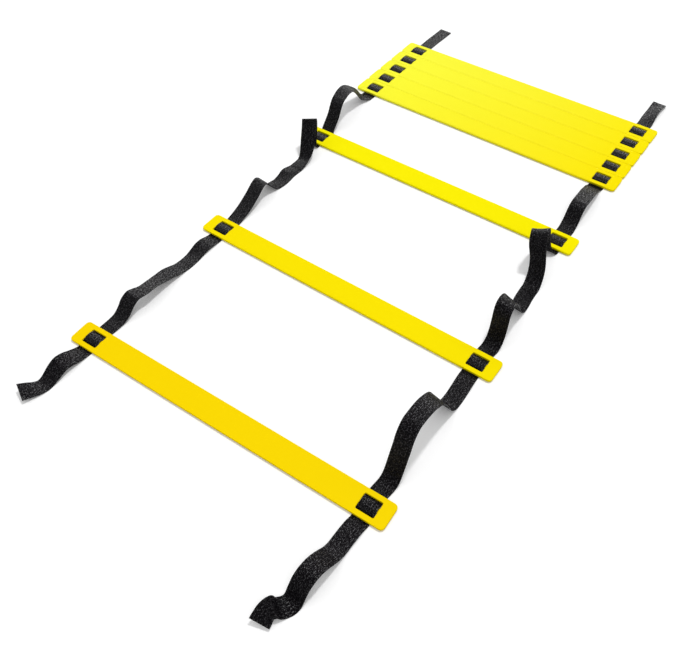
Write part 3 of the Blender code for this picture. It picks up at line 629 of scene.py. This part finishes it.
def plasticMaterial(name, leftLitTone, rightLitTone):
    material, graph, shader = blankMaterial(name)
    place = graph.add("ShaderNodeTexCoord").outputs["Object"]
    made = graph.add("ShaderNodeGroup", node_tree=plasticTree)
    graph.join(place, made.inputs[0])
    mottle, grain, scuff = made.outputs[:3]
    along = graph.add("ShaderNodeSeparateXYZ", {0: place}).outputs[0]
    share = graph.between(along, (datum.x - ladder["rungLength"] / 2, datum.x + ladder["rungLength"] / 2))
    # Painted light and shade: the tone runs from the left end's to the right end's along the rung.
    litTone = graph.mix(share, [*leftLitTone, 1], [*rightLitTone, 1])
    dulled = graph.mix(plasticLook["mottleDepth"], litTone, (0, 0, 0, 1))
    graph.join(graph.mix(mottle, dulled, litTone), shader["Base Color"])
    rough = graph.math("ADD", graph.math("MULTIPLY", scuff, plasticLook["scuffRoughness"]),
                       plasticLook["roughness"])
    uneven = graph.math("MULTIPLY", mottle, plasticLook["mottleRoughness"])
    graph.join(graph.math("ADD", rough, uneven), shader["Roughness"])
    height = graph.math("ADD", graph.math("MULTIPLY", grain, plasticLook["grainHeight"]), scuff)
    bump = graph.add("ShaderNodeBump", {"Height": height, "Distance": plasticLook["bump"],
                                        "Strength": plasticLook["bumpStrength"]})
    graph.join(bump.outputs[0], shader["Normal"])
    shader["IOR"].default_value = plasticLook["ior"]
    shader["Specular IOR Level"].default_value = plasticLook["specular"]
    return material


# Painted light and shade: tones at the left and right ends of each rung of the same yellow plastic, golden
# at the near end and lemon at the far left, as the light falls.
rungLitTones = [((0.96, 0.685, 0.0005), (0.96, 0.7, 0.0005)), ((0.96, 0.775, 0.0005), (0.96, 0.78, 0.0005)),
             ((0.96, 0.865, 0.0014), (0.96, 0.845, 0.0007)), ((0.96, 0.95, 0.038), (0.96, 0.78, 0.0007)),
             ((0.96, 0.955, 0.042), (0.96, 0.785, 0.0007)), ((0.96, 0.96, 0.046), (0.96, 0.79, 0.0008)),
             ((0.96, 0.96, 0.05), (0.96, 0.8, 0.0014)), ((0.96, 0.96, 0.053), (0.96, 0.81, 0.0027))]
for number, (leftLitTone, rightLitTone) in enumerate(rungLitTones, 1):
    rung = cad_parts["rung_%d" % number]
    rung.material_slots[0].material = plasticMaterial("rungPlastic%d" % number, leftLitTone, rightLitTone)
print("stage: rung plastic")

# The paper lights the ladder as a pale grey would, is seen as white, and glows a little with distance.
paper = {"half": 30.0, "lights": 0.8, "seen": 1.0, "glow": (0.08, 0.5), "glowSpan": (1.2, 7.0),
         "roughness": 0.95}


def seenDirectly(graph):
    # 1 for what the camera sees, also in a mirror or through glass, and 0 for light that falls on things.
    rays = graph.add("ShaderNodeLightPath")
    mirrored = graph.math("MAXIMUM", rays.outputs["Is Glossy Ray"], rays.outputs["Is Transmission Ray"])
    return graph.math("MAXIMUM", rays.outputs["Is Camera Ray"], mirrored)


def makeFloor():
    bm = bmesh.new()
    bmesh.ops.create_grid(bm, x_segments=1, y_segments=1, size=paper["half"])
    floor = placeMesh("floor", bm)
    material, graph, shader = blankMaterial("floorPaper")
    seen = seenDirectly(graph)
    white = graph.mix(seen, [paper["lights"]] * 3 + [1], [paper["seen"]] * 3 + [1])
    graph.join(white, shader["Base Color"])
    place = graph.add("ShaderNodeTexCoord").outputs["Object"]
    away = graph.add("ShaderNodeVectorMath", {0: place}, operation="LENGTH").outputs["Value"]
    glow = graph.between(away, paper["glowSpan"], paper["glow"], "SMOOTHSTEP")
    shader["Emission Color"].default_value = (1, 1, 1, 1)
    graph.join(graph.math("MULTIPLY", seen, glow), shader["Emission Strength"])
    shader["Roughness"].default_value = paper["roughness"]
    shader["Specular IOR Level"].default_value = 0
    floor.data.materials.append(material)


# A soft lamp over the far right of the ladder. Its light doesn't fade with distance, so the paper stays
# white out to its edge.
lamp = {"place": (0.3, 0.4, 2.6), "power": 14.7, "radius": 0.12}


def makeLamp():
    bulb = bpy.data.lights.new("softLamp", "POINT")
    bulb.energy = lamp["power"]
    bulb.shadow_soft_size = lamp["radius"]
    bulb.use_nodes = True
    graph = Graph(bulb.node_tree)
    steady = graph.add("ShaderNodeLightFalloff", {"Strength": 1.0}).outputs["Constant"]
    graph.join(steady, bulb.node_tree.nodes["Emission"].inputs["Strength"])
    hung = bpy.data.objects.new("softLamp", bulb)
    hung.location = lamp["place"]
    bpy.context.scene.collection.objects.link(hung)


# The sky is brightest overhead. Sheens also reflect a white panel that stands behind the ladder, on the
# side that the vector points to, between the first span of its cosine and the second.
room = {"sky": (0.15, 0.825), "skySpan": (0.15, 0.75), "panel": (0.0, 6.0), "panelSide": (-0.61, 0.79, 0.0),
        "panelSpan": (0.45, 0.84), "panelEndSpan": (0.93, 1.0)}


def makeRoom():
    world = bpy.data.worlds.new("whiteRoom")
    bpy.context.scene.world = world
    world.use_nodes = True
    graph = Graph(world.node_tree)
    background = world.node_tree.nodes["Background"].inputs
    toward = graph.add("ShaderNodeTexCoord").outputs["Generated"]
    upward = graph.add("ShaderNodeSeparateXYZ", {0: toward}).outputs[2]
    sky = graph.between(upward, room["skySpan"], room["sky"], "SMOOTHSTEP")
    sideways = graph.add("ShaderNodeVectorMath", {0: toward, 1: room["panelSide"]},
                         operation="DOT_PRODUCT").outputs["Value"]
    panel = graph.between(sideways, room["panelSpan"], room["panel"], "SMOOTHSTEP")
    fading = graph.between(sideways, room["panelEndSpan"], (1.0, 0.0), "SMOOTHSTEP")
    glossy = graph.add("ShaderNodeLightPath").outputs["Is Glossy Ray"]
    sheen = graph.math("MULTIPLY", panel, fading)
    lit = graph.add("ShaderNodeMix", {0: glossy, 2: sky, 3: sheen}).outputs[0]
    background[0].default_value = (1, 1, 1, 1)
    graph.join(graph.math("MAXIMUM", lit, seenDirectly(graph)), background[1])


makeFloor()
makeLamp()
makeRoom()
bpy.context.scene.view_settings.view_transform = "Standard"
print("stage: floor and light")
